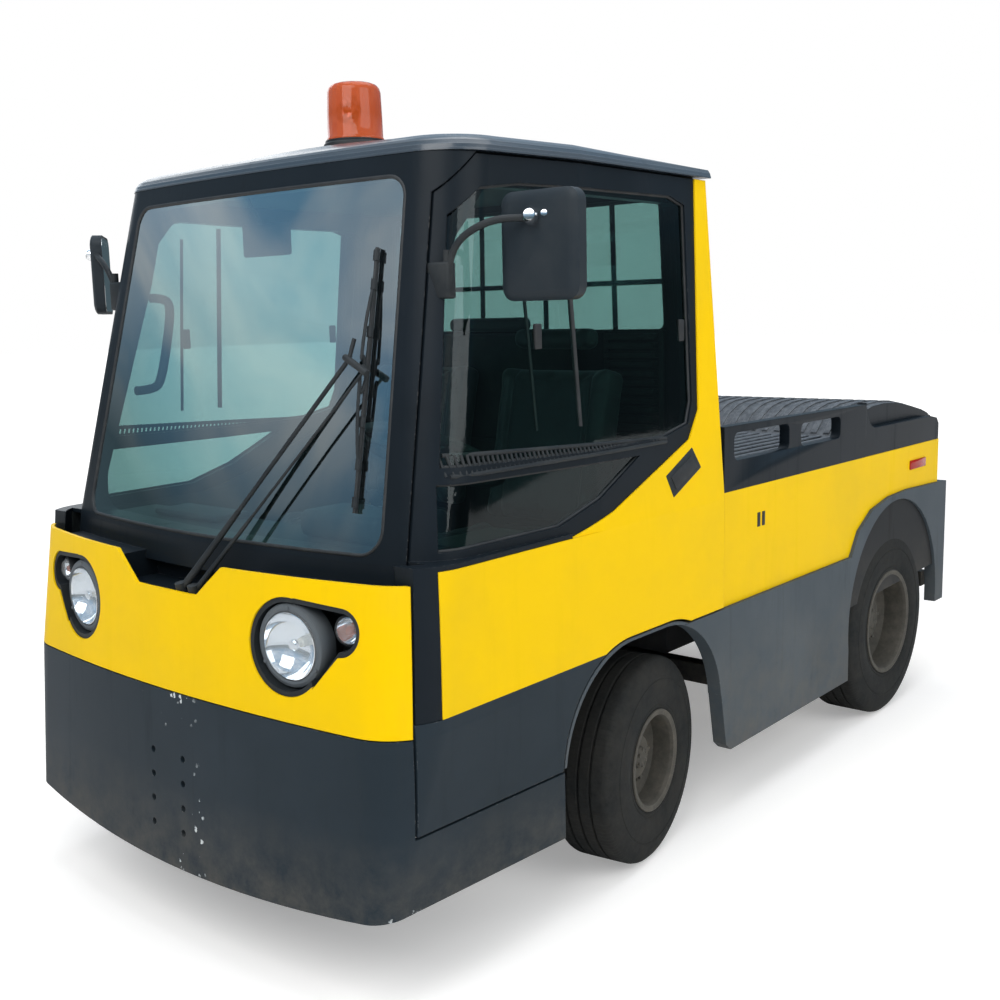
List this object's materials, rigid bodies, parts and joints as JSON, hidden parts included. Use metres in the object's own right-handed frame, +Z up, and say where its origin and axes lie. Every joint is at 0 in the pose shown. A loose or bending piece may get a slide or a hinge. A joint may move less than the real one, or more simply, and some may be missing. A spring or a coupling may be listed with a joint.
{
  "type": "airport baggage tug",
  "caption": "Electric baggage towing tractor with an enclosed cab, hinged doors, side-railed battery deck, solid tyres, front push plate and stepped rear tow jaw.",
  "frame": {"origin": "middle of the length and width, on the ground under the tyres", "axes": "+X forward, +Y to the left, +Z up"},
  "size_m": [3.3124, 1.91, 2.1468],
  "materials": {
    "yellow": "glossy, faded",
    "anthracite": "satin",
    "grey": "satin, worn",
    "steel": "dirty black",
    "rim": "dusty",
    "tyre": "dusty",
    "glass": "clear, tinted",
    "lens": "clear",
    "amber": "translucent",
    "black_plastic": "matte",
    "interior": "matte",
    "seat": "woven",
    "battery": "matte"
  },
  "bodies": {
    "chassis": {"battery": "battery", "beacon_base": "black_plastic", "beacon_dome": "amber", "cab_floor": "interior", "cab_frame": "anthracite", "cab_glass": "glass", "chassis_frame": "steel", "dashboard": "black_plastic", "deck_rails": "yellow", "front_axle": "steel", "front_bumper": "anthracite", "front_cowl": "yellow", "lamp_housings": "black_plastic", "lamp_lenses": "lens", "rear_axle": "steel", "rear_body": "yellow", "rear_wall": "anthracite", "roof": "anthracite", "seat_backs": "seat", "seat_cushions": "seat", "side_skirts": "grey", "tow_coupling": "steel", "wiper": "black_plastic"},
    "door_left": {"door_skin_left": "yellow", "door_frame_left": "anthracite", "door_glass_left": "glass", "door_panel_left": "anthracite", "mirror_left": "black_plastic"},
    "door_right": {"door_skin_right": "yellow", "door_frame_right": "anthracite", "door_glass_right": "glass", "door_panel_right": "anthracite", "mirror_right": "black_plastic"},
    "steer_left": {"knuckle_left": "steel"},
    "steer_right": {"knuckle_right": "steel"},
    "wheel_front_left": {"front_left_tyre": "tyre", "front_left_rim": "rim"},
    "wheel_front_right": {"front_right_tyre": "tyre", "front_right_rim": "rim"},
    "wheel_rear_left": {"rear_left_tyre": "tyre", "rear_left_rim": "rim"},
    "wheel_rear_right": {"rear_right_tyre": "tyre", "rear_right_rim": "rim"},
    "steering_wheel": {"steering_wheel": "black_plastic"},
    "deck_lid": {"deck_lid": "anthracite"}
  },
  "joints": [
    {"name": "left_steering", "type": "hinge", "parent": "chassis", "child": "steer_left", "pos_m": [0.594, 0.5, 0.289], "axis": [0, 0, 1], "range_deg": [-43, 27]},
    {"name": "right_steering", "type": "hinge", "parent": "chassis", "child": "steer_right", "pos_m": [0.594, -0.5, 0.289], "axis": [0, 0, 1], "range_deg": [-43, 27]},
    {"name": "steering_wheel_turn", "type": "hinge", "parent": "chassis", "child": "steering_wheel", "pos_m": [1.014, 0.33, 1.165], "axis": [-0.4695, 0, 0.8829], "range_deg": [-774, 486]},
    {"name": "front_left_wheel", "type": "hinge", "parent": "steer_left", "child": "wheel_front_left", "pos_m": [0.57521, 0.63369, 0.289], "axis": [-0.1392, 0.9903, 0], "continuous": true},
    {"name": "front_right_wheel", "type": "hinge", "parent": "steer_right", "child": "wheel_front_right", "pos_m": [0.61279, -0.63369, 0.289], "axis": [-0.1392, 0.9903, 0], "continuous": true},
    {"name": "rear_left_wheel", "type": "hinge", "parent": "chassis", "child": "wheel_rear_left", "pos_m": [-1.023, 0.651, 0.3485], "axis": [0, 1, 0], "continuous": true},
    {"name": "rear_right_wheel", "type": "hinge", "parent": "chassis", "child": "wheel_rear_right", "pos_m": [-1.023, -0.651, 0.3485], "axis": [0, 1, 0], "continuous": true},
    {"name": "left_door_hinge", "type": "hinge", "parent": "chassis", "child": "door_left", "pos_m": [1.494, 0.731, 1], "axis": [0, 0, -1], "range_deg": [0, 75]},
    {"name": "right_door_hinge", "type": "hinge", "parent": "chassis", "child": "door_right", "pos_m": [1.494, -0.731, 1], "axis": [0, 0, 1], "range_deg": [0, 75]},
    {"name": "deck_lid_hinge", "type": "hinge", "parent": "chassis", "child": "deck_lid", "pos_m": [0.204, 0, 1.074], "axis": [0, 1, 0], "range_deg": [0, 75]}
  ],
  "couplings": [
    {"joint": "right_steering", "follows": "left_steering", "ratio": 1},
    {"joint": "steering_wheel_turn", "follows": "left_steering", "ratio": 18}
  ]
}
